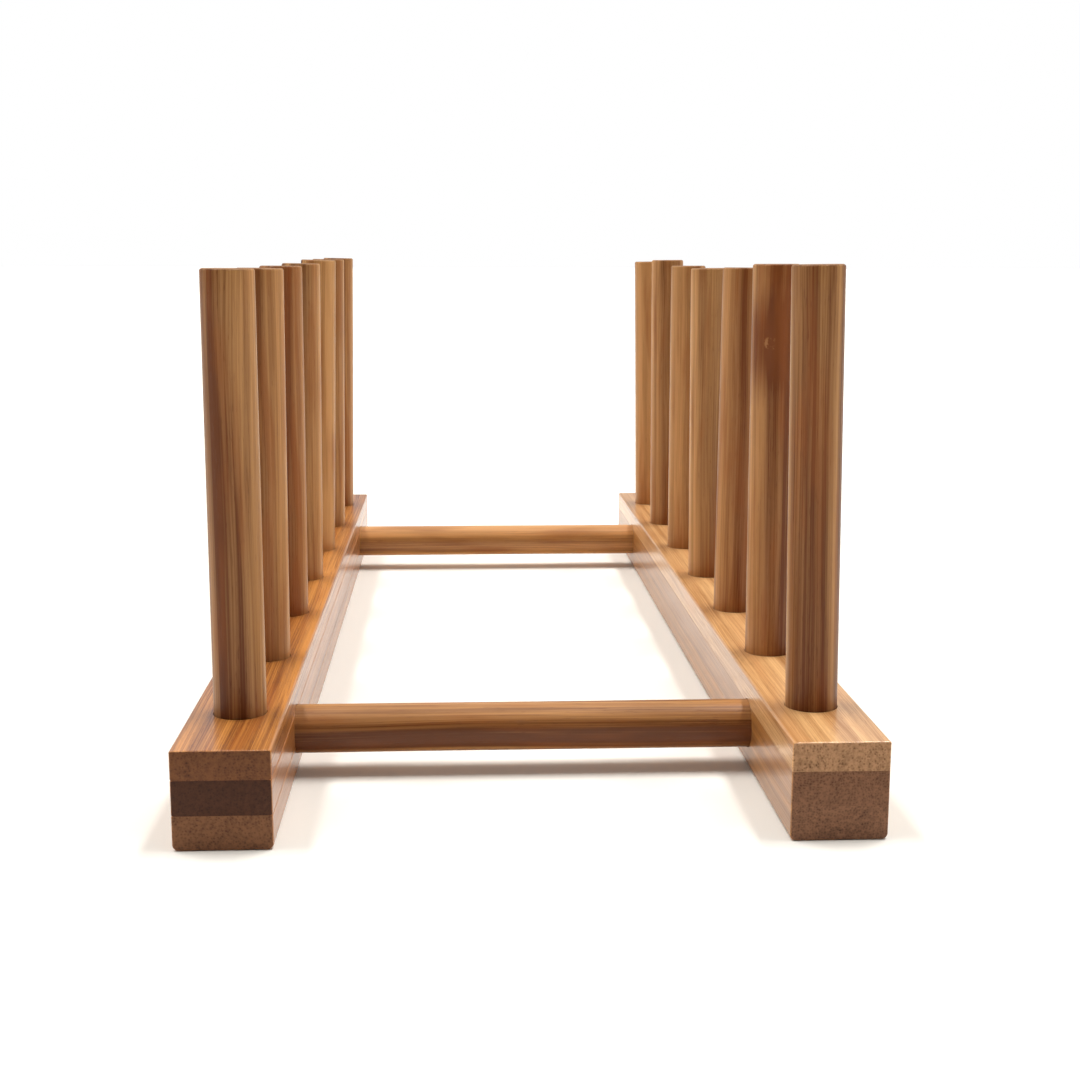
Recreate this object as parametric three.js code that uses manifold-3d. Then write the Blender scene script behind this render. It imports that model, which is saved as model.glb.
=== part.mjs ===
// A plate rack in glued bamboo: two laminated rails, seven upright pegs in each rail to stand
// plates between, and two cross dowels that tie the rails together.
// Millimetres. X runs across the rack, Y along the rails and Z up. The origin is on the table
// under the middle of the rack.

import * as THREE from "three";
import { mergeVertices } from "three/addons/utils/BufferGeometryUtils.js";
import Module from "manifold-3d";

const wasm = await Module();
wasm.setup();

// Rails. Each is glued up from three layers and then eased along its edges.
const railLength = 340;
const railWidth = 20;
const railGap = 103.4; // clear space between the inner faces
const bottomLayer = 7.2;
const middleLayer = 7.2;
const topLayer = 6;
const glueLine = 0.1;
const footRound = 1.2; // radius along the two bottom edges
const topEase = 0.5; // radius along the two top edges
const endRound = 0.5; // radius around each end

// Pegs, glued upright into blind sockets.
const pegDiameter = 11.1;
const pegsPerRail = 7;
const pegEndInset = 26.5; // from the end of the rail to the middle of the first peg
const pegInward = 0.5; // from the middle of the rail towards the other rail
const pegProud = 93.5; // above the rail
const pegIntoMiddle = 5.5; // how far a socket goes on below the top layer
const pegEase = 0.6; // chamfer around each end of a peg

// How each peg was driven, front to back: how much further it stands out of its socket than
// the others, and how many degrees it leans towards +X.
const leftPegs = [
  { rise: -0.6, lean: 0.1 },
  { rise: -0.8, lean: 0.5 },
  { rise: -0.5, lean: 0.3 },
  { rise: 0.0, lean: 0.7 },
  { rise: 1.0, lean: 1.3 },
  { rise: 1.2, lean: 0.9 },
  { rise: 1.6, lean: 0.9 },
];
const rightPegs = [
  { rise: 0.5, lean: -0.9 },
  { rise: 0.4, lean: -0.3 },
  { rise: -0.7, lean: 0.3 },
  { rise: -1.1, lean: -0.6 },
  { rise: -0.6, lean: -0.2 },
  { rise: 1.2, lean: -0.5 },
  { rise: 0.6, lean: -0.9 },
];

// Cross dowels, glued into blind pockets in the inner faces, in the first and last plate slot.
const dowelDiameter = 11;
const dowelHeight = 10; // middle of the dowel above the table
const dowelPocket = 9; // depth of each pocket
const dowelOutset = 1.4; // from the middle of its slot towards the near end of the rack
const dowelEase = 0.6;

const sideClearance = 0.15; // all round a peg or dowel in its hole
const endClearance = 0.3; // between its end and the bottom of the hole
const sides = 28; // facets around a peg, dowel or hole
const cornerSteps = 4; // facets along a rounded edge
const overshoot = 2; // how far a cutter runs past the face it cuts

// Places that follow from those sizes.
const middleLayerBottom = bottomLayer + glueLine;
const topLayerBottom = middleLayerBottom + middleLayer + glueLine;
const railHeight = topLayerBottom + topLayer;
const railOffset = (railGap + railWidth) / 2;
const pegPitch = (railLength - 2 * pegEndInset) / (pegsPerRail - 1);
const pegSocket = topLayer + glueLine + pegIntoMiddle;
const firstPeg = pegEndInset - railLength / 2;
const dowelPlace = -firstPeg - pegPitch / 2 + dowelOutset; // each side of the middle
const dowelReach = railGap / 2 + dowelPocket - endClearance; // half the length of a cross dowel

function solidFrom(geometry) {
  const bare = geometry.clone();
  bare.deleteAttribute("normal");
  bare.deleteAttribute("uv");
  const merged = mergeVertices(bare);
  return new wasm.Manifold(
    new wasm.Mesh({
      numProp: 3,
      vertProperties: new Float32Array(merged.attributes.position.array),
      triVerts: new Uint32Array(merged.index.array),
    }),
  );
}

function geometryFrom(solid) {
  const { vertProperties, triVerts } = solid.getMesh();
  const indexed = new THREE.BufferGeometry();
  indexed.setAttribute("position", new THREE.BufferAttribute(vertProperties, 3));
  indexed.setIndex(new THREE.BufferAttribute(triVerts, 1));
  const geometry = indexed.toNonIndexed();
  geometry.computeVertexNormals();
  return geometry;
}

function bamboo(colour) {
  return new THREE.MeshStandardMaterial({ color: colour, roughness: 0.35, metalness: 0 });
}

function namedMesh(name, geometry, colour) {
  const mesh = new THREE.Mesh(geometry, bamboo(colour));
  mesh.name = name;
  return mesh;
}

// A round rod along Z from one height to another, chamfered at both ends.
function rod(radius, from, to, ease) {
  const profile = [
    new THREE.Vector2(0, from),
    new THREE.Vector2(radius - ease, from),
    new THREE.Vector2(radius, from + ease),
    new THREE.Vector2(radius, to - ease),
    new THREE.Vector2(radius - ease, to),
    new THREE.Vector2(0, to),
  ];
  return new THREE.LatheGeometry(profile, sides).rotateX(Math.PI / 2);
}

// A plain round cutter along Z, with its facets lined up with a rod's.
function roundCutter(radius, from, to) {
  const cutter = new THREE.CylinderGeometry(radius, radius, to - from, sides);
  return cutter.translate(0, (from + to) / 2, 0).rotateX(Math.PI / 2);
}

// A rectangle whose corners are rounded, with one radius for the lower two and one for the upper.
function roundedOutline(width, height, lowerRadius, upperRadius) {
  const right = width / 2;
  const top = height / 2;
  const outline = new THREE.Shape();
  outline.absarc(right - lowerRadius, lowerRadius - top, lowerRadius, -Math.PI / 2, 0);
  outline.absarc(right - upperRadius, top - upperRadius, upperRadius, 0, Math.PI / 2);
  outline.absarc(upperRadius - right, top - upperRadius, upperRadius, Math.PI / 2, Math.PI);
  outline.absarc(lowerRadius - right, lowerRadius - top, lowerRadius, Math.PI, 1.5 * Math.PI);
  return outline;
}

// An outline run out along Z, half to each side of Z = 0.
function prism(outline, depth) {
  const options = { depth, bevelEnabled: false, curveSegments: cornerSteps };
  return new THREE.ExtrudeGeometry(outline, options).translate(0, 0, -depth / 2);
}

// The whole rail before it is drilled, middled on X and Y and standing on Z = 0. It is what
// its end view, its side view and its plan have in common.
function railBlank() {
  const endView = prism(roundedOutline(railWidth, railHeight, footRound, topEase), railLength);
  const sideView = prism(roundedOutline(railLength, railHeight, endRound, endRound), 2 * railWidth);
  const plan = prism(roundedOutline(railWidth, railLength, endRound, endRound), 2 * railHeight);
  const along = endView.rotateX(Math.PI / 2).translate(0, 0, railHeight / 2);
  const across = sideView.rotateX(Math.PI / 2).rotateZ(Math.PI / 2).translate(0, 0, railHeight / 2);
  return solidFrom(along).intersect(solidFrom(across)).intersect(solidFrom(plan));
}

function pegGeometry(rise) {
  return rod(pegDiameter / 2, endClearance + rise - pegSocket, pegProud + rise, pegEase);
}

// Where a peg's axis crosses the top of its rail, in the rail's own frame.
function pegPlace(side, index) {
  return new THREE.Vector3(-side * pegInward, firstPeg + index * pegPitch, railHeight);
}

// The socket leans with its peg, and is deeper under a peg that was driven further in.
function pegSocketCutter(side, index, { rise, lean }) {
  const depth = pegSocket - rise;
  const cutter = roundCutter(pegDiameter / 2 + sideClearance, -depth, overshoot);
  const place = pegPlace(side, index);
  return cutter.rotateY(THREE.MathUtils.degToRad(lean)).translate(place.x, place.y, place.z);
}

// A pocket in the rail's inner face, which looks towards the other rail.
function dowelPocketCutter(side, y) {
  const innerFace = railWidth / 2;
  const radius = dowelDiameter / 2 + sideClearance;
  const cutter = roundCutter(radius, innerFace - dowelPocket, innerFace + overshoot);
  return cutter.rotateY((-side * Math.PI) / 2).translate(0, y, dowelHeight);
}

// One glued layer of a rail: a slice of the blank, less every hole that reaches it.
function railLayer(side, pegs, bottom, thickness) {
  const slab = new THREE.BoxGeometry(2 * railWidth, 2 * railLength, thickness);
  slab.translate(0, 0, bottom + thickness / 2);
  let layer = railBlank().intersect(solidFrom(slab));
  pegs.forEach((peg, index) => {
    layer = layer.subtract(solidFrom(pegSocketCutter(side, index, peg)));
  });
  for (const y of [-dowelPlace, dowelPlace]) {
    layer = layer.subtract(solidFrom(dowelPocketCutter(side, y)));
  }
  return geometryFrom(layer);
}

function railWithPegs(name, side, pegs) {
  const rail = new THREE.Group();
  rail.position.x = side * railOffset;
  const bottom = railLayer(side, pegs, 0, bottomLayer);
  const middle = railLayer(side, pegs, middleLayerBottom, middleLayer);
  const top = railLayer(side, pegs, topLayerBottom, topLayer);
  rail.add(namedMesh(`${name}_rail_bottom_lamina`, bottom, 0x9a6238));
  rail.add(namedMesh(`${name}_rail_middle_lamina`, middle, 0x7d4c2b));
  rail.add(namedMesh(`${name}_rail_top_lamina`, top, 0xc98d55));
  pegs.forEach((peg, index) => {
    const mesh = namedMesh(`${name}_peg_${index + 1}`, pegGeometry(peg.rise), 0x96613a);
    mesh.position.copy(pegPlace(side, index));
    mesh.rotation.y = THREE.MathUtils.degToRad(peg.lean);
    rail.add(mesh);
  });
  return rail;
}

function crossDowel(name, y) {
  const geometry = rod(dowelDiameter / 2, -dowelReach, dowelReach, dowelEase);
  const mesh = namedMesh(name, geometry.rotateY(Math.PI / 2), 0xa8713f);
  mesh.position.set(0, y, dowelHeight);
  return mesh;
}

const rack = new THREE.Group();
rack.add(railWithPegs("left", -1, leftPegs.slice(0, pegsPerRail)));
rack.add(railWithPegs("right", 1, rightPegs.slice(0, pegsPerRail)));
rack.add(crossDowel("front_cross_dowel", -dowelPlace));
rack.add(crossDowel("rear_cross_dowel", dowelPlace));

export default rack;
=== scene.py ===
import math

import bmesh
import bpy
import numpy as np
from mathutils import Matrix, Vector


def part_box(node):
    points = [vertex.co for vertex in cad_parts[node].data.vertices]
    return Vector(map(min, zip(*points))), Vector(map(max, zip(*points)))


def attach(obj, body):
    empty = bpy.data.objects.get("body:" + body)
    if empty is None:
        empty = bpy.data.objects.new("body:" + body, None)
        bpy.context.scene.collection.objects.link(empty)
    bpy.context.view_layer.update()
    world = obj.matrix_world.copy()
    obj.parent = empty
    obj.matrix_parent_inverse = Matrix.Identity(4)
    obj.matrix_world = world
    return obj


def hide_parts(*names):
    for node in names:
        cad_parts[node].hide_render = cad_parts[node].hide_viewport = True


# A plate rack in glued bamboo. Every piece is made around its CAD node, in that node's own place.
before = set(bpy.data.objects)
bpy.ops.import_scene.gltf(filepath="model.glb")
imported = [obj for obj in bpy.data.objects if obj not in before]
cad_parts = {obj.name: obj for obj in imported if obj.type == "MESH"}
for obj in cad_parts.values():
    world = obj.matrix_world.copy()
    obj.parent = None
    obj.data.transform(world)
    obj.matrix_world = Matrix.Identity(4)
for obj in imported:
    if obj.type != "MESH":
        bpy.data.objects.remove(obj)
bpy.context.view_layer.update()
scene = bpy.context.scene
mm = 0.001  # Blender works in metres, so a size given in mm is multiplied by this
railSides = ["left", "right"]
pegNames = {side: [f"{side}_peg_{n}" for n in range(1, 8)] for side in railSides}
dowelNames = ["front_cross_dowel", "rear_cross_dowel"]


# Camera, floor and light

cameraSetup = {
    "spot": (-14.9, -467.2, 115.4),  # mm
    "heading": -3.06,  # degrees from straight down the rack, less than 0 to the right
    "tilt": -10.16,  # degrees, looking down
    "roll": 0.15,
    "lens": 52.2,
    "sensor": 36,
    "near": 0.01,
    "far": 50,
}

# The room as the rack sees it: dim on the viewer's side, with two long lamps overhead. A lamp is
# given by slopes: how far it lies across and back for each metre that it hangs above the rack.
studio = {
    "floorColour": "#f4f0e7",
    "floorSize": 40.0,
    "floorDrop": 0.05,  # mm, so that the rails' undersides aren't in the floor's own plane
    "frontWall": 0.06,
    "backWall": 0.85,
    "wallTurn": (-1.0, 0.25),  # the front wall passes into the back wall between these
    "lowWall": 0.45,  # share of a wall's light near the floor
    "lowEdge": (0.1, 0.45),
    "lamps": {
        "left": {"middle": {"X": -0.39, "Y": 0.15}, "half": {"X": 0.07, "Y": 0.27}, "strength": 27.0},
        "right": {"middle": {"X": 0.33, "Y": 0.15}, "half": {"X": 0.06, "Y": 0.27}, "strength": 36.0},
    },
    "lampEdge": 0.02,
    "leastRise": 0.01,  # keeps the slopes finite towards the horizon and below it
}


def addCamera():
    data = bpy.data.cameras.new("camera")
    data.lens = cameraSetup["lens"]
    data.sensor_width = cameraSetup["sensor"]
    data.clip_start = cameraSetup["near"]
    data.clip_end = cameraSetup["far"]
    camera = bpy.data.objects.new("camera", data)
    turn = Matrix.Rotation(math.radians(cameraSetup["heading"]), 4, "Z")
    tilt = Matrix.Rotation(math.radians(90 + cameraSetup["tilt"]), 4, "X")
    roll = Matrix.Rotation(math.radians(cameraSetup["roll"]), 4, "Z")
    place = Matrix.Translation(Vector(cameraSetup["spot"]) * mm)
    camera.matrix_world = place @ turn @ tilt @ roll
    scene.collection.objects.link(camera)
    scene.camera = camera


def addFloor():
    half = studio["floorSize"] / 2
    drop = -studio["floorDrop"] * mm
    corners = [(-half, -half, drop), (half, -half, drop), (half, half, drop), (-half, half, drop)]
    mesh = bpy.data.meshes.new("floor")
    mesh.from_pydata(corners, [], [(0, 1, 2, 3)])
    mesh.materials.append(whitePaper())
    floor = bpy.data.objects.new("floor", mesh)
    scene.collection.objects.link(floor)


def addRoom():
    world = bpy.data.worlds.new("room")
    world.use_nodes = True
    tree = world.node_tree
    tree.nodes.clear()
    toward = addNode(tree, "ShaderNodeTexCoord", {}).outputs["Generated"]
    parts = addNode(tree, "ShaderNodeSeparateXYZ", {0: toward}).outputs
    low = addNode(tree, "ShaderNodeMapRange", {
        "Value": parts["Z"],
        "From Min": studio["lowEdge"][0],
        "From Max": studio["lowEdge"][1],
        "To Min": studio["lowWall"],
    }, interpolation_type="SMOOTHSTEP")
    walls = addNode(tree, "ShaderNodeMapRange", {
        "Value": parts["Y"],
        "From Min": studio["wallTurn"][0],
        "From Max": studio["wallTurn"][1],
        "To Min": studio["frontWall"],
        "To Max": studio["backWall"],
    }, interpolation_type="SMOOTHSTEP")
    light = addNode(tree, "ShaderNodeMath", {0: walls, 1: low}, operation="MULTIPLY")
    height = addNode(tree, "ShaderNodeMath", {
        0: parts["Z"],
        1: studio["leastRise"],
    }, operation="MAXIMUM")
    for lamp in studio["lamps"].values():
        lit = lamp["strength"]
        for axis, middle in lamp["middle"].items():
            slope = addNode(tree, "ShaderNodeMath", {0: parts[axis], 1: height}, operation="DIVIDE")
            offset = addNode(tree, "ShaderNodeMath", {0: slope, 1: middle}, operation="SUBTRACT")
            lit = addNode(tree, "ShaderNodeMapRange", {
                "Value": addNode(tree, "ShaderNodeMath", {0: offset}, operation="ABSOLUTE"),
                "From Min": lamp["half"][axis] + studio["lampEdge"],
                "From Max": lamp["half"][axis] - studio["lampEdge"],
                "To Max": lit,
            }, interpolation_type="SMOOTHSTEP")
        light = addNode(tree, "ShaderNodeMath", {0: light, 1: lit}, operation="ADD")
    # The viewer sees plain white beyond the floor.
    seen = addNode(tree, "ShaderNodeLightPath", {}).outputs["Is Camera Ray"]
    strength = addNode(tree, "ShaderNodeMix", {"Factor": seen, "A": light, "B": 1.0})
    white = addNode(tree, "ShaderNodeBackground", {"Color": (1, 1, 1, 1), "Strength": strength})
    addNode(tree, "ShaderNodeOutputWorld", {"Surface": white})
    scene.world = world
    scene.view_settings.view_transform = "Standard"


# Materials

# Adds a node. Each socket is given a plain value, an output socket to link from, or a node, and
# then the first of the node's outputs that is in use is linked.
def addNode(tree, kind, sockets, **settings):
    node = tree.nodes.new(kind)
    for name, value in settings.items():
        setattr(node, name, value)
    for key, value in sockets.items():
        if isinstance(value, bpy.types.Node):
            value = next(output for output in value.outputs if output.enabled)
        if isinstance(value, bpy.types.NodeSocket):
            tree.links.new(value, node.inputs[key])
        else:
            node.inputs[key].default_value = value
    return node


# The start plus each value times its weight.
def weighted(tree, start, terms):
    total = start
    for value, weight in terms:
        sockets = {0: value, 1: weight, 2: total}
        total = addNode(tree, "ShaderNodeMath", sockets, operation="MULTIPLY_ADD")
    return total


def fromHex(code):
    channels = [int(code[i:i + 2], 16) / 255 for i in (1, 3, 5)]
    return tuple(c / 12.92 if c <= 0.04045 else ((c + 0.055) / 1.055) ** 2.4 for c in channels) + (1.0,)


def newMaterial(name):
    material = bpy.data.materials.new(name)
    material.use_nodes = True
    material.node_tree.nodes.clear()
    return material, material.node_tree


# Matt paper, a little warm: it shows the soft shadows and nothing else.
def whitePaper():
    material, tree = newMaterial("whitePaper")
    shader = addNode(tree, "ShaderNodeBsdfDiffuse", {"Color": fromHex(studio["floorColour"])})
    addNode(tree, "ShaderNodeOutputMaterial", {"Surface": shader})
    return material


# The grain attribute is in mm: X runs from the middle of the cane's wall towards its skin, Y
# across the strip and Z along the fibres, with a node of the cane at Z = 0. Each pattern has its
# size in mm across the grain and along it.
bambooNoise = {
    "band": {"across": 3.4, "along": 260, "detail": 3.0},  # lighter and darker layers of the wall
    "fibre": {"across": 0.30, "along": 70, "detail": 2.0},
    "redness": {"across": 4.5, "along": 45, "detail": 2.0},  # where the heat took more
    "mottle": {"across": 0.95, "along": 60, "detail": 2.0},  # seen on sawn ends
    "pore": {"across": 0.22, "along": 3.4, "detail": 1.0},  # open vessels, a little coarse to show
}
bambooDetail = {
    "noiseRoughness": 0.55,
    "wanderAcross": 12,  # how the fibres stray from a straight line, and by how much
    "wanderAlong": 85,
    "wander": 2.6,
    "bundleAcross": 0.58,  # fibre bundles: dots on a sawn end, long lines on a face
    "bundleAlong": 80,
    "bundleScatter": 0.75,
    "wall": 5.5,  # half the wall of the cane
    "nodeReach": 15,  # how far the dark of a node spreads along the grain
    "nodeCore": 1,
    "nodeRagged": 16,
    "scarSpot": (3.7, -4.1, 0),  # the scar of a bud on the node: a pale ring, broken by specks
    "scarRadius": 1.1,
    "scarSpeck": 0.7,
    "scarContrast": (-1.0, 0.7),
}

# Where each pattern begins to show, and where it shows in full.
patternEdges = {
    "pore": (0.60, 0.72),
    "bundle": (0.55, 0.12),
    "redness": (0.48, 0.68),
    "scarRing": (0.9, 0.2),  # mm from the ring
    "scarSpeck": (0.15, 0.55),
    "sawn": (0.6, 0.9),  # how squarely a face looks along the fibres
}

# How much each mark darkens the wood, on a face along the grain and on a sawn end, how much it
# reddens it, and how far it stands out of the surface.
faceMarks = {"start": 0.42, "band": 2.3, "bundle": 0.14, "pore": 0.16, "node": 0.55, "scar": -0.8}
endMarks = {"start": -1.13, "band": 0.7, "fibre": 0.5, "mottle": 1.4, "bundle": 0.45}
redMarks = {"patch": 0.4, "node": 0.2}
relief = {"bundle": 0.4, "pore": -1.0}

# Lacquer lies in an even film on the faces and sinks into sawn ends.
lacquer = {
    "ior": 1.5,
    "woodShine": 0.2,
    "faceRough": 0.34,
    "endRough": 0.55,
    "fibreRough": 0.2,
    "filmRough": 0.2,
    "endFilm": 0.03,
    "grooveDepth": 0.05,  # mm, in the wood and in the film over it
    "filmDepth": 0.03,
    "grooveStrength": 0.6,
    "filmStrength": 0.3,
}

# Each piece's own colours: soft tissue, fibre bundles and the red of the heat on a face, then
# tissue and bundles on a sawn end, which soaks up more stain; on the rails the end colours are also
# made darker as painted shade over their front ends. gloss is how much lacquer lies on the face,
# fine is how strong its fine lines are and the skin tone how much its skin side darkens, which on
# the pegs and cross dowels also paints in their shaded side.
strips = {
    "left_top": {
        "light": "#d08a42", "dark": "#743c15", "red": "#a65a20",
        "endLight": "#75492b", "endDark": "#442616",
        "gloss": 0.8, "fine": 1.7, "skinToneAndShade": 0.2,
    },
    "left_middle": {
        "light": "#bd7636", "dark": "#7b471c", "red": "#945626",
        "endLight": "#4d2c1b", "endDark": "#321a11",
        "gloss": 0.85, "fine": 0.9, "skinToneAndShade": 0.2,
    },
    "left_bottom": {
        "light": "#c17b3a", "dark": "#804b20", "red": "#985a2a",
        "endLight": "#865a3c", "endDark": "#503121",
        "gloss": 0.85, "fine": 0.9, "skinToneAndShade": 0.2,
    },
    "right_top": {
        "light": "#edb97d", "dark": "#ae7742", "red": "#cf9058",
        "endLight": "#b98c66", "endDark": "#5c3c27",
        "gloss": 0.8, "fine": 1.5, "skinToneAndShade": 0.2,
    },
    "right_middle": {
        "light": "#bb7e40", "dark": "#7d4c22", "red": "#96602f",
        "endLight": "#8b6147", "endDark": "#4b3123",
        "gloss": 0.75, "fine": 0.9, "skinToneAndShade": 0.2,
    },
    "right_bottom": {
        "light": "#c08446", "dark": "#815025", "red": "#9a6534",
        "endLight": "#91664b", "endDark": "#4e3325",
        "gloss": 0.75, "fine": 0.9, "skinToneAndShade": 0.2,
    },
    # The pegs' and cross dowels' strong skin tone also paints in the shade on their shaded side.
    "peg": {
        "light": "#cf9b63", "dark": "#65340f", "red": "#93501f",
        "endLight": "#a57a50", "endDark": "#5e3e2d",
        "gloss": 0.08, "fine": 0.65, "skinToneAndShade": 0.6,
    },
    "cross_dowel": {
        "light": "#d0965a", "dark": "#64340f", "red": "#91501f",
        "endLight": "#94694c", "endDark": "#5e3e2d",
        "gloss": 0.25, "fine": 0.8, "skinToneAndShade": 0.6,
    },
}


# What follows the fibres. They stray a little, so each pattern is read at a strayed point.
def grainPatterns(tree, grain):
    detail = bambooDetail
    across, along = 1 / detail["wanderAcross"], 1 / detail["wanderAlong"]
    sockets = {0: grain, 1: (across, across, along)}
    drift = addNode(tree, "ShaderNodeTexNoise", {
        "Vector": addNode(tree, "ShaderNodeVectorMath", sockets, operation="MULTIPLY"),
        "Scale": 1.0,
        "Detail": 1.0,
        "Roughness": detail["noiseRoughness"],
    })
    strayed = addNode(tree, "ShaderNodeVectorMath", {
        0: drift.outputs["Color"],
        1: (detail["wander"], detail["wander"], 0),
        2: grain,
    }, operation="MULTIPLY_ADD")
    strayed = addNode(tree, "ShaderNodeVectorMath", {
        0: strayed,
        1: (detail["wander"] / 2, detail["wander"] / 2, 0),
    }, operation="SUBTRACT")

    patterns = {}
    for name, size in bambooNoise.items():
        sockets = {0: strayed, 1: (1 / size["across"], 1 / size["across"], 1 / size["along"])}
        patterns[name] = addNode(tree, "ShaderNodeTexNoise", {
            "Vector": addNode(tree, "ShaderNodeVectorMath", sockets, operation="MULTIPLY"),
            "Scale": 1.0,
            "Detail": size["detail"],
            "Roughness": detail["noiseRoughness"],
        })
    across, along = 1 / detail["bundleAcross"], 1 / detail["bundleAlong"]
    sockets = {0: strayed, 1: (across, across, along)}
    patterns["bundle"] = addNode(tree, "ShaderNodeTexVoronoi", {
        "Vector": addNode(tree, "ShaderNodeVectorMath", sockets, operation="MULTIPLY"),
        "Scale": 1.0,
        "Randomness": detail["bundleScatter"],
    })
    for name in ("pore", "bundle"):
        patterns[name] = addNode(tree, "ShaderNodeMapRange", {
            "Value": patterns[name],
            "From Min": patternEdges[name][0],
            "From Max": patternEdges[name][1],
        }, interpolation_type="SMOOTHSTEP")
    place = addNode(tree, "ShaderNodeSeparateXYZ", {0: strayed}).outputs
    patterns["along"] = place["Z"]
    # Rises towards the skin side, which on the pegs and cross dowels is turned to their shade, so it is
    # painted shade there too.
    patterns["nearSkin"] = addNode(tree, "ShaderNodeMapRange", {
        "Value": place["X"],
        "From Min": -detail["wall"],
        "From Max": detail["wall"],
    })
    return patterns


# A node of the cane: a dark, ragged patch with the scar of a bud in it.
def caneNode(tree, grain, patterns, strength):
    detail = bambooDetail
    ragged = detail["nodeRagged"]
    fromNode = addNode(tree, "ShaderNodeMath", {0: patterns["along"]}, operation="ABSOLUTE")
    patch = addNode(tree, "ShaderNodeMapRange", {
        "Value": weighted(tree, fromNode, [(patterns["band"], ragged)]),
        "From Min": detail["nodeReach"] + ragged / 2,
        "From Max": detail["nodeCore"] + ragged / 2,
        "To Max": strength,
    }, interpolation_type="SMOOTHSTEP")
    sockets = {0: grain, 1: detail["scarSpot"]}
    ring = addNode(tree, "ShaderNodeVectorMath", sockets, operation="DISTANCE")
    ring = addNode(tree, "ShaderNodeMath", {0: ring, 1: detail["scarRadius"]}, operation="SUBTRACT")
    ring = addNode(tree, "ShaderNodeMapRange", {
        "Value": addNode(tree, "ShaderNodeMath", {0: ring}, operation="ABSOLUTE"),
        "From Min": patternEdges["scarRing"][0],
        "From Max": patternEdges["scarRing"][1],
        "To Max": strength,
    }, interpolation_type="SMOOTHSTEP")
    sockets = {"Vector": grain, "Scale": 1 / detail["scarSpeck"]}
    specks = addNode(tree, "ShaderNodeMapRange", {
        "Value": addNode(tree, "ShaderNodeTexVoronoi", sockets),
        "From Min": patternEdges["scarSpeck"][0],
        "From Max": patternEdges["scarSpeck"][1],
        "To Min": detail["scarContrast"][0],
        "To Max": detail["scarContrast"][1],
    }, interpolation_type="SMOOTHSTEP")
    scar = addNode(tree, "ShaderNodeMath", {0: ring, 1: specks}, operation="MULTIPLY")
    return patch, scar


# Along the grain: from light to dark, and then reddened where the heat took more.
def faceColour(tree, look, patterns, tone):
    # A noise is 0.5 on average, so half of its weight comes off again.
    average = 0.5 * (faceMarks["band"] + look["skinToneAndShade"] + look["fine"])
    sockets = {0: tone["X"], 1: faceMarks["start"] - average}
    plain = addNode(tree, "ShaderNodeMath", sockets, operation="ADD")
    colour = addNode(tree, "ShaderNodeMix", {
        "Factor": weighted(tree, plain, [
            (patterns["band"], faceMarks["band"]),
            # The skin side darkens; on the pegs and cross dowels this is painted shade as well.
            (patterns["nearSkin"], look["skinToneAndShade"]),
            (patterns["fibre"], look["fine"]),
            (patterns["bundle"], faceMarks["bundle"] * look["fine"]),
            (patterns["pore"], faceMarks["pore"] * look["fine"]),
            (patterns["node"], faceMarks["node"]),
            (patterns["scar"], faceMarks["scar"]),
        ]),
        "A": fromHex(look["light"]),
        "B": fromHex(look["dark"]),
    }, data_type="RGBA")
    heated = addNode(tree, "ShaderNodeMapRange", {
        "Value": patterns["redness"],
        "From Min": patternEdges["redness"][0],
        "From Max": patternEdges["redness"][1],
        "To Max": redMarks["patch"],
    }, interpolation_type="SMOOTHSTEP")
    reddened = [(heated, 1.0), (patterns["node"], redMarks["node"])]
    return addNode(tree, "ShaderNodeMix", {
        "Factor": weighted(tree, tone["Y"], reddened),
        "A": colour,
        "B": fromHex(look["red"]),
    }, data_type="RGBA")


# Across the grain, where the fibre bundles are cut into dots. On the rails these colours also
# hold painted shade for their front ends.
def endColour(tree, look, patterns):
    marks = [(patterns[name], endMarks[name]) for name in ("band", "fibre", "mottle", "bundle")]
    return addNode(tree, "ShaderNodeMix", {
        "Factor": weighted(tree, endMarks["start"], marks),
        "A": fromHex(look["endLight"]),
        "B": fromHex(look["endDark"]),
    }, data_type="RGBA")


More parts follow.
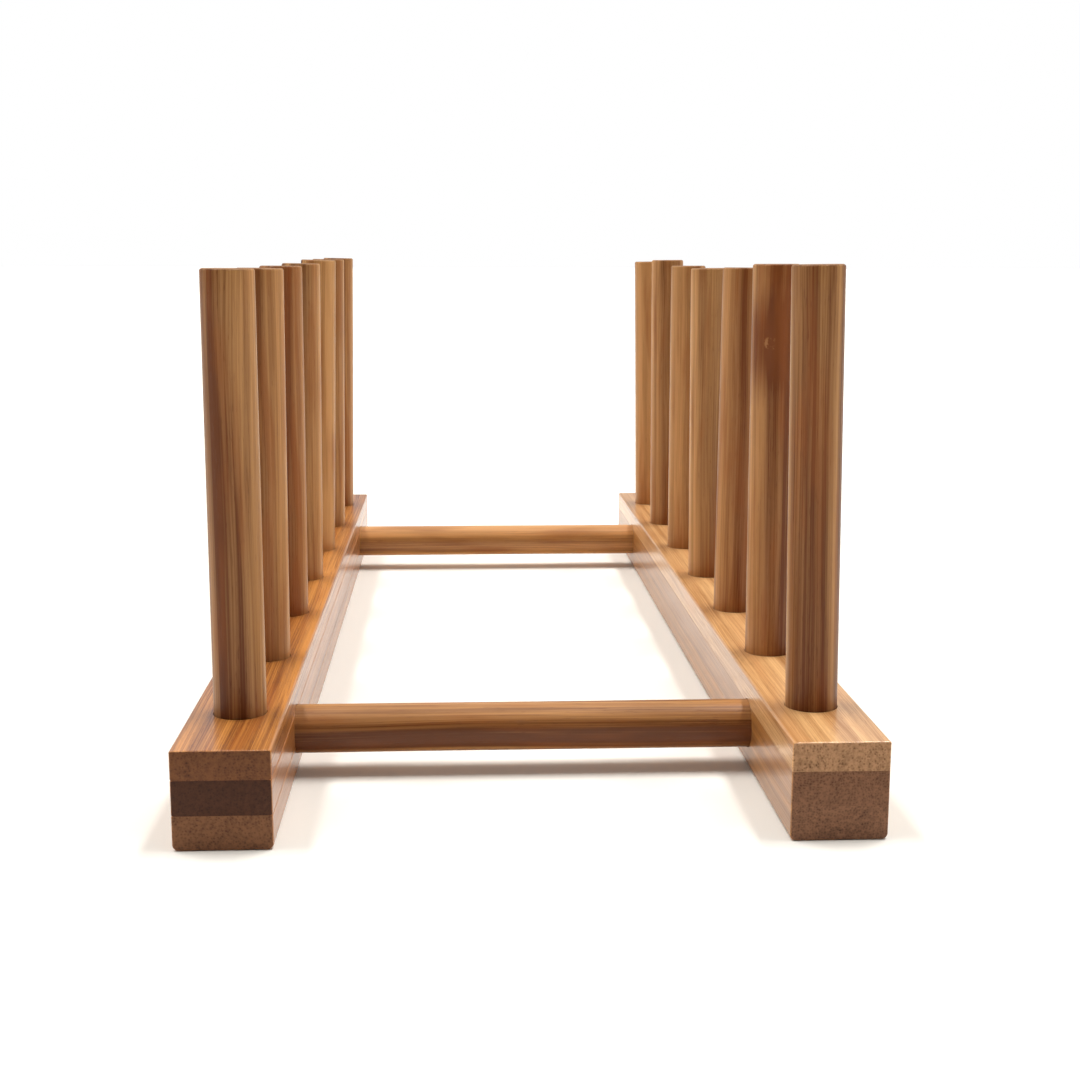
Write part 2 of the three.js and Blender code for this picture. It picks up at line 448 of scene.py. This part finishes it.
# Carbonised bamboo under clear lacquer: caramel brown with long straight fibres in lighter and
# darker bands, speckled where it is sawn across, and shiny where it is seen at a low angle.
def lacqueredBamboo(strip, grainAxis):
    material, tree = newMaterial(f"lacqueredBamboo_{strip}")
    look = strips[strip]
    grain = addNode(tree, "ShaderNodeAttribute", {}, attribute_name="grain").outputs["Vector"]
    marks = addNode(tree, "ShaderNodeAttribute", {}, attribute_name="tone").outputs["Vector"]
    tone = addNode(tree, "ShaderNodeSeparateXYZ", {0: marks}).outputs
    patterns = grainPatterns(tree, grain)
    patterns["node"], patterns["scar"] = caneNode(tree, grain, patterns, tone["Z"])

    # A sawn end is a face that looks along the fibres.
    sockets = {0: addNode(tree, "ShaderNodeNewGeometry", {}).outputs["Normal"], 1: grainAxis}
    facing = addNode(tree, "ShaderNodeVectorMath", sockets, operation="DOT_PRODUCT")
    sawn = addNode(tree, "ShaderNodeMapRange", {
        "Value": addNode(tree, "ShaderNodeMath", {0: facing}, operation="ABSOLUTE"),
        "From Min": patternEdges["sawn"][0],
        "From Max": patternEdges["sawn"][1],
    }, interpolation_type="SMOOTHSTEP")
    rough = addNode(tree, "ShaderNodeMapRange", {
        "Value": sawn,
        "To Min": lacquer["faceRough"],
        "To Max": lacquer["endRough"],
    })
    raised = weighted(tree, patterns["fibre"], [(patterns[name], relief[name]) for name in relief])
    shader = addNode(tree, "ShaderNodeBsdfPrincipled", {
        "Base Color": addNode(tree, "ShaderNodeMix", {
            "Factor": sawn,
            "A": faceColour(tree, look, patterns, tone),
            "B": endColour(tree, look, patterns),
        }, data_type="RGBA"),
        "Roughness": weighted(tree, rough, [(patterns["fibre"], lacquer["fibreRough"])]),
        "IOR": lacquer["ior"],
        "Specular IOR Level": lacquer["woodShine"],
        "Normal": addNode(tree, "ShaderNodeBump", {
            "Height": raised,
            "Strength": lacquer["grooveStrength"],
            "Distance": lacquer["grooveDepth"] * mm,
        }),
        "Coat Weight": addNode(tree, "ShaderNodeMapRange", {
            "Value": sawn,
            "To Min": look["gloss"],
            "To Max": lacquer["endFilm"],
        }),
        "Coat Roughness": lacquer["filmRough"],
        "Coat IOR": lacquer["ior"],
        "Coat Normal": addNode(tree, "ShaderNodeBump", {
            "Height": raised,
            "Strength": lacquer["filmStrength"],
            "Distance": lacquer["filmDepth"] * mm,
        }),
    })
    addNode(tree, "ShaderNodeOutputMaterial", {"Surface": shader})
    return material


# Geometry Nodes

def startTree(name, inputs):
    tree = bpy.data.node_groups.new(name, "GeometryNodeTree")
    tree.interface.new_socket("Geometry", in_out="OUTPUT", socket_type="NodeSocketGeometry")
    for label, kind in inputs.items():
        tree.interface.new_socket(label, in_out="INPUT", socket_type="NodeSocket" + kind)
    return tree, addNode(tree, "NodeGroupInput", {}).outputs


def endTree(tree, geometry, material):
    real = addNode(tree, "GeometryNodeRealizeInstances", {"Geometry": geometry})
    finished = addNode(tree, "GeometryNodeSetMaterial", {"Geometry": real, "Material": material})
    addNode(tree, "NodeGroupOutput", {"Geometry": finished})
    return tree


# Runs a tree, on a mesh where one is given, and keeps what it makes as a plain mesh.
def runTree(name, tree, values, mesh=None):
    holder = bpy.data.objects.new(name, mesh or bpy.data.meshes.new(name))
    scene.collection.objects.link(holder)
    modifier = holder.modifiers.new(name, "NODES")
    modifier.node_group = tree
    for item in tree.interface.items_tree:
        if item.in_out == "INPUT" and item.name in values:
            modifier[item.identifier] = values[item.name]
    made = evaluatedMesh(holder)
    bpy.data.objects.remove(holder)
    return made


def evaluatedMesh(holder):
    graph = bpy.context.evaluated_depsgraph_get()
    graph.update()
    evaluated = holder.evaluated_get(graph)
    return bpy.data.meshes.new_from_object(evaluated, preserve_all_data_layers=True, depsgraph=graph)


# The rod from stations along its axis, which lie closer together where its ends are rounded.
def turnedBody(tree, given):
    index = addNode(tree, "GeometryNodeInputIndex", {})
    last = addNode(tree, "ShaderNodeMath", {0: given["Stations"], 1: 1.0}, operation="SUBTRACT")
    fromLast = addNode(tree, "ShaderNodeMath", {0: last, 1: index}, operation="SUBTRACT")
    lastStraight = {0: last, 1: given["Ease Stations"]}
    straightTop = {0: given["Length"], 1: given["Ease"]}
    height = addNode(tree, "ShaderNodeMapRange", {
        "Value": index,
        "From Min": given["Ease Stations"],
        "From Max": addNode(tree, "ShaderNodeMath", lastStraight, operation="SUBTRACT"),
        "To Min": given["Ease"],
        "To Max": addNode(tree, "ShaderNodeMath", straightTop, operation="SUBTRACT"),
    })
    # Each end is a quarter round, where a station lies further out and further in.
    radius = given["Radius"]
    for count, outward in ((index, -1.0), (fromLast, 1.0)):
        angle = addNode(tree, "ShaderNodeMapRange", {
            "Value": count,
            "From Max": given["Ease Stations"],
            "To Max": math.pi / 2,
        })
        cosine = addNode(tree, "ShaderNodeMath", {0: angle}, operation="COSINE")
        out = addNode(tree, "ShaderNodeMath", {0: cosine, 1: outward}, operation="MULTIPLY")
        height = weighted(tree, height, [(out, given["Ease"])])
        sine = addNode(tree, "ShaderNodeMath", {0: angle}, operation="SINE")
        inward = addNode(tree, "ShaderNodeMath", {0: sine, 1: 1.0}, operation="SUBTRACT")
        radius = weighted(tree, radius, [(inward, given["Ease"])])
    line = addNode(tree, "GeometryNodeCurvePrimitiveLine", {"End": (0, 0, 1)})
    points = addNode(tree, "GeometryNodeResampleCurve", {"Curve": line, "Count": given["Stations"]})
    axis = addNode(tree, "GeometryNodeSetPosition", {
        "Geometry": points,
        "Position": addNode(tree, "ShaderNodeCombineXYZ", {"Z": height}),
    })
    ring = addNode(tree, "GeometryNodeCurvePrimitiveCircle", {
        "Resolution": given["Sides"],
        "Radius": 1.0,
    })
    return addNode(tree, "GeometryNodeCurveToMesh", {
        "Curve": axis,
        "Profile Curve": ring,
        "Scale": radius,
        "Fill Caps": True,
    })


# Sanding leaves a rod slightly out of round.
def sandedBody(tree, given, body):
    position = addNode(tree, "GeometryNodeInputPosition", {})
    bumps = tuple(1 / (size * mm) for size in rodShape["waverSize"])
    uneven = addNode(tree, "ShaderNodeTexNoise", {
        "Vector": addNode(tree, "ShaderNodeVectorMath", {0: position, 1: bumps}, operation="MULTIPLY"),
        "W": given["Seed"],
        "Scale": 1.0,
        "Detail": 0.0,
    }, noise_dimensions="4D")
    centred = addNode(tree, "ShaderNodeMath", {0: uneven, 1: 0.5}, operation="SUBTRACT")
    amount = addNode(tree, "ShaderNodeMath", {0: centred, 1: given["Waver"]}, operation="MULTIPLY")
    outward = addNode(tree, "ShaderNodeVectorMath", {0: position, 1: (1, 1, 0)}, operation="MULTIPLY")
    outward = addNode(tree, "ShaderNodeVectorMath", {0: outward}, operation="NORMALIZE")
    sockets = {0: outward, "Scale": amount}
    return addNode(tree, "GeometryNodeSetPosition", {
        "Geometry": body,
        "Offset": addNode(tree, "ShaderNodeVectorMath", sockets, operation="SCALE"),
    })


# The grain turns about the rod's axis and slides along it, so no two rods match. The turn also
# puts the darker skin on the side where the rod is in shade, so it paints that shade in.
def grainedBody(tree, given, body):
    turned = addNode(tree, "ShaderNodeVectorRotate", {
        "Vector": addNode(tree, "GeometryNodeInputPosition", {}),
        "Angle": given["Grain Turn"],
    }, rotation_type="Z_AXIS")
    grain = addNode(tree, "ShaderNodeVectorMath", {
        0: turned,
        1: (1 / mm, 1 / mm, 1 / mm),
        2: addNode(tree, "ShaderNodeCombineXYZ", {"Z": given["Grain Shift"]}),
    }, operation="MULTIPLY_ADD")
    for name, value in (("grain", grain), ("tone", given["Tone"])):
        body = addNode(tree, "GeometryNodeStoreNamedAttribute", {
            "Geometry": body,
            "Name": name,
            "Value": value,
        }, data_type="FLOAT_VECTOR", domain="POINT")
    return body


# A turned rod along Z from the origin, rounded over at both ends, a touch uneven as sanded
# bamboo is, with its grain and tone stored on it.
def rodTree():
    tree, given = startTree("turnedRod", {
        "Length": "Float",
        "Radius": "Float",
        "Ease": "Float",
        "Sides": "Int",
        "Stations": "Int",
        "Ease Stations": "Int",
        "Waver": "Float",
        "Seed": "Float",
        "Grain Turn": "Float",
        "Grain Shift": "Float",
        "Tone": "Vector",
        "Material": "Material",
    })
    body = sandedBody(tree, given, turnedBody(tree, given))
    return endTree(tree, grainedBody(tree, given, body), given["Material"])


# Drills, one at each point of the mesh it runs on, pointing along that point's aim attribute.
def drillTree():
    tree, given = startTree("drills", {
        "Geometry": "Geometry",
        "Radius": "Float",
        "Length": "Float",
        "Sides": "Int",
        "Material": "Material",
    })
    drill = addNode(tree, "GeometryNodeMeshCylinder", {
        "Vertices": given["Sides"],
        "Radius": given["Radius"],
        "Depth": given["Length"],
    })
    aim = addNode(tree, "GeometryNodeInputNamedAttribute", {"Name": "aim"}, data_type="FLOAT_VECTOR")
    drills = addNode(tree, "GeometryNodeInstanceOnPoints", {
        "Points": given["Geometry"],
        "Instance": drill,
        "Rotation": addNode(tree, "FunctionNodeAlignRotationToVector", {"Vector": aim}, axis="Z"),
    })
    return endTree(tree, drills, given["Material"])


# Pieces

def storeVectors(mesh, name, values):
    attribute = mesh.attributes.new(name, "FLOAT_VECTOR", "POINT")
    attribute.data.foreach_set("vector", np.array(values, np.float32).ravel())


sharpFrom = 35  # degrees between two faces: their edge then stays sharp


def finishPiece(mesh, node):
    mesh.name = f"bamboo_{node}"
    piece = bpy.data.objects.new(mesh.name, mesh)
    scene.collection.objects.link(piece)
    for polygon in mesh.polygons:
        polygon.use_smooth = True
    mesh.set_sharp_from_angle(angle=math.radians(sharpFrom))
    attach(piece, "root")
    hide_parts(node)


# Where the CAD has a rod: the middle of its lower or left end, its direction and its size.
def rodPlace(node):
    points = np.array([v.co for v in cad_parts[node].data.vertices])
    middle = points.mean(axis=0)
    along = np.linalg.svd(points - middle, full_matrices=False)[2][0]
    along = along * np.sign(along[np.abs(along).argmax()])
    reach = (points - middle) @ along
    across = points - middle - np.outer(reach, along)
    return {
        "start": Vector(middle + along * reach.min()),
        "along": Vector(along),
        "length": float(reach.max() - reach.min()),
        "radius": float(np.linalg.norm(across, axis=1).max()),
    }


rodShape = {
    "ease": 0.6,  # mm, the radius over each end
    "sides": 72,
    "stations": 30,
    "easeStations": 5,
    "waver": 0.10,  # mm, how far out of round
    "waverSize": (4.5, 4.5, 45),  # mm, around the rod and along it
}

# How each rod lay in its cane: which way the skin faced, in degrees round the rod, and how many
# mm past a node of the cane it starts, so that a little less than 0 puts the node in the rod.
# The darker skin is turned to where each rod is in shade, mostly its side towards the viewer and
# the lower front of the cross dowels, so it is painted shade as well as skin.
# Then how much darker and redder than most it is, and how strongly its node is marked; the front
# cross dowel's darker tone is also painted shade on its lower side.
rodLie = {
    "left_peg_1": {"skin": 190, "cut": 360, "tone": (0.23, 0.0, 0)},
    "left_peg_2": {"skin": 175, "cut": 120, "tone": (0.08, 0.1, 0)},
    "left_peg_3": {"skin": 195, "cut": 140, "tone": (0.10, 0.3, 0)},
    "left_peg_4": {"skin": 200, "cut": 75, "tone": (-0.06, 0.0, 0)},
    "left_peg_5": {"skin": 190, "cut": -40, "tone": (-0.14, 0.0, 0.3)},
    "left_peg_6": {"skin": 210, "cut": 60, "tone": (0.02, 0.0, 0)},
    "left_peg_7": {"skin": 190, "cut": 150, "tone": (0.04, 0.1, 0)},
    "right_peg_1": {"skin": -85, "cut": 180, "tone": (0.05, 0.0, 0)},
    "right_peg_2": {"skin": -62, "cut": -86.5, "tone": (0.04, 0.1, 1.0)},
    "right_peg_3": {"skin": -10, "cut": 300, "tone": (0.11, 0.2, 0)},
    "right_peg_4": {"skin": -40, "cut": 240, "tone": (-0.15, 0.0, 0)},
    "right_peg_5": {"skin": 20, "cut": 350, "tone": (0.07, 0.1, 0)},
    "right_peg_6": {"skin": -30, "cut": 220, "tone": (-0.03, 0.1, 0)},
    "right_peg_7": {"skin": 50, "cut": 180, "tone": (-0.10, 0.1, 0)},
    "front_cross_dowel": {"skin": -72, "cut": -190, "tone": (0.28, 0.0, 0)},
    "rear_cross_dowel": {"skin": -60, "cut": 60, "tone": (-0.56, 0.0, 0)},
}


def makeRod(tree, node, material, seed):
    place = rodPlace(node)
    lie = rodLie[node]
    mesh = runTree(node, tree, {
        "Length": place["length"],
        "Radius": place["radius"],
        "Ease": rodShape["ease"] * mm,
        "Sides": rodShape["sides"],
        "Stations": rodShape["stations"],
        "Ease Stations": rodShape["easeStations"],
        "Waver": rodShape["waver"] * mm,
        "Seed": float(seed),
        "Grain Turn": math.radians(-lie["skin"]),
        "Grain Shift": float(lie["cut"]),
        "Tone": lie["tone"],
        "Material": material,
    })
    turn = Vector((0, 0, 1)).rotation_difference(place["along"]).to_matrix().to_4x4()
    mesh.transform(Matrix.Translation(place["start"]) @ turn)
    finishPiece(mesh, node)


# Sizes in mm.
layerShape = {
    "topRound": 0.5,  # along a rail's upper edges
    "footRound": 1.2,
    "endRound": 0.5,
    "leastRound": 0.02,
    "jointRound": {"left": 0.25, "right": 0.05},  # makes the groove where two layers meet
    "hold": 0.35,  # an edge this far from each rounding keeps the flats flat
    "glue": 0.01,
    "holeClearance": 0.15,
    "roundSteps": 6,
    "drillSides": 72,
}

# Each layer of a rail: the layer below it, which of its edges are glued to another layer, which
# way up the skin of the cane lies, where it was cut across the cane, how many mm from the middle
# of each rail the cane's node falls, and how strongly the node is marked.
layerKinds = {
    "top": {
        "slot": "bamboo_top_layer", "below": "middle", "glued": ("foot",),
        "skin": 1, "across": 0.0, "node": {"left": 96, "right": 70}, "nodeMark": 0.3,
    },
    "middle": {
        "slot": "bamboo_core_layer", "below": "bottom", "glued": ("foot", "top"),
        "skin": -1, "across": 37.0, "node": {"left": 10, "right": -50}, "nodeMark": 0.2,
    },
    "bottom": {
        "slot": "bamboo_base_layer", "below": None, "glued": ("top",),
        "skin": -1, "across": 74.0, "node": {"left": -60, "right": 120}, "nodeMark": 0.2,
    },
}


# The outline of a layer in X and Z, pulled in from the rail's faces but not from its glued ones.
def layerOutline(low, high, rounds, glued, inset):
    steps = layerShape["roundSteps"]
    hold = layerShape["hold"] * mm
    left, right = low.x + inset, high.x - inset
    lower = low.z + (0 if "foot" in glued else inset)
    upper = high.z - (0 if "top" in glued else inset)
    outline = []
    for x, z, edge, first in (
        (right, lower, "foot", -90),
        (right, upper, "top", 0),
        (left, upper, "top", 90),
        (left, lower, "foot", 180),
    ):
        radius = rounds[edge] * mm
        if edge not in glued:
            radius = max(radius - inset, layerShape["leastRound"] * mm)
        corner = Vector((1 if x == right else -1, 1 if z == upper else -1))
        middle = Vector((x, z)) - corner * radius
        angles = [math.radians(first + 90 * step / steps) for step in range(steps + 1)]
        start, end = angles[0], angles[-1]
        arc = [middle + radius * Vector((math.cos(a), math.sin(a))) for a in angles]
        outline.append(arc[0] + hold * Vector((math.sin(start), -math.cos(start))))
        outline += arc
        outline.append(arc[-1] + hold * Vector((-math.sin(end), math.cos(end))))
    return outline


# A layer before it is drilled: its outline at places along Y, closer together where the ends of
# the rail are rounded.
def layerMesh(node, low, high, rounds, glued):
    steps = layerShape["roundSteps"]
    endRound = layerShape["endRound"] * mm
    places = []
    for step in range(steps + 1):
        angle = math.radians(90 * step / steps)
        places.append((endRound * (1 - math.cos(angle)), endRound * (1 - math.sin(angle))))
    places.append((endRound + layerShape["hold"] * mm, 0))
    cuts = [(low.y + y, inset) for y, inset in places]
    cuts += [(high.y - y, inset) for y, inset in reversed(places)]
    shape = bmesh.new()
    rings = []
    for y, inset in cuts:
        outline = layerOutline(low, high, rounds, glued, inset)
        rings.append([shape.verts.new((x, y, z)) for x, z in outline])
    for near, far in zip(rings, rings[1:]):
        for i in range(len(near)):
            shape.faces.new((near[i - 1], near[i], far[i], far[i - 1]))
    shape.faces.new(rings[0])
    shape.faces.new(list(reversed(rings[-1])))
    bmesh.ops.recalc_face_normals(shape, faces=shape.faces)
    mesh = bpy.data.meshes.new(node)
    shape.to_mesh(mesh)
    shape.free()
    return mesh


# A drill is twice as long as its hole is deep, and its middle is at the mouth of the hole.
def drillMesh(tree, name, rods, mouths, depth, material):
    mesh = bpy.data.meshes.new(name)
    mesh.from_pydata(mouths, [], [])
    storeVectors(mesh, "aim", [rod["along"] for rod in rods])
    return runTree(name, tree, {
        "Radius": rods[0]["radius"] + layerShape["holeClearance"] * mm,
        "Length": 2 * depth,
        "Sides": layerShape["drillSides"],
        "Material": material,
    }, mesh)


# The sockets of a rail's pegs, in its upper face, and the pockets of the cross dowels, in its
# inner face.
def railDrills(tree, side, material):
    low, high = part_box(f"{side}_rail_top_lamina")
    inner = min(low.x, high.x, key=abs)
    clearance = layerShape["holeClearance"] * mm
    pegs = [rodPlace(node) for node in pegNames[side]]
    mouths = [peg["start"] + peg["along"] * ((high.z - peg["start"].z) / peg["along"].z) for peg in pegs]
    depth = max((mouth - peg["start"]).length for mouth, peg in zip(mouths, pegs)) + clearance
    sockets = drillMesh(tree, "sockets", pegs, mouths, depth, material)
    dowels = [rodPlace(node) for node in dowelNames]
    mouths = [Vector((inner, dowel["start"].y, dowel["start"].z)) for dowel in dowels]
    depth = dowels[0]["length"] / 2 - abs(inner) + 2 * clearance
    pockets = drillMesh(tree, "pockets", dowels, mouths, depth, material)
    return sockets, pockets


def drilledMesh(node, blank, drills):
    piece = bpy.data.objects.new(node, blank)
    scene.collection.objects.link(piece)
    cutters = []
    for mesh in drills:
        cutter = bpy.data.objects.new("drill", mesh)
        scene.collection.objects.link(cutter)
        cutters.append(cutter)
        cut = piece.modifiers.new("drill", "BOOLEAN")
        cut.operation = "DIFFERENCE"
        cut.solver = "EXACT"
        cut.object = cutter
    drilled = evaluatedMesh(piece)
    for used in (piece, *cutters):
        bpy.data.objects.remove(used)
    return drilled


def makeLayer(side, layer, material, drills):
    kind = layerKinds[layer]
    node = f"{side}_rail_{layer}_lamina"
    low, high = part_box(node)
    # The glue line is thinner than a hair, so the layers are brought close together.
    if kind["below"]:
        low.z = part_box(f"{side}_rail_{kind['below']}_lamina")[1].z + layerShape["glue"] * mm
    rounds = {"top": layerShape["topRound"], "foot": layerShape["footRound"]}
    for edge in kind["glued"]:
        rounds[edge] = layerShape["jointRound"][side]
    blank = layerMesh(node, low, high, rounds, kind["glued"])
    mesh = drilledMesh(node, blank, drills)
    mesh.materials.clear()
    mesh.materials.append(material)

    points = np.array([v.co for v in mesh.vertices]) / mm
    middle = (low.z + high.z) / 2 / mm
    storeVectors(mesh, "grain", np.column_stack([
        (points[:, 2] - middle) * kind["skin"],
        points[:, 0] + kind["across"],
        points[:, 1] - kind["node"][side],
    ]))
    storeVectors(mesh, "tone", [(0, 0, kind["nodeMark"])] * len(points))
    finishPiece(mesh, node)


addCamera()
addFloor()
addRoom()
print("camera, floor and light are in place")

rods = rodTree()
pegBamboo = lacqueredBamboo("peg", (0, 0, 1))
pegs = pegNames["left"] + pegNames["right"]
for seed, node in enumerate(pegs, 1):
    makeRod(rods, node, pegBamboo, seed)
dowelBamboo = lacqueredBamboo("cross_dowel", (1, 0, 0))
for seed, node in enumerate(dowelNames, len(pegs) + 1):
    makeRod(rods, node, dowelBamboo, seed)
print("the pegs and the cross dowels are made")

drills = drillTree()
for side in railSides:
    for layer in layerKinds:
        material = lacqueredBamboo(f"{side}_{layer}", (0, 1, 0))
        makeLayer(side, layer, material, railDrills(drills, side, material))
print("the rails are laid up and drilled")
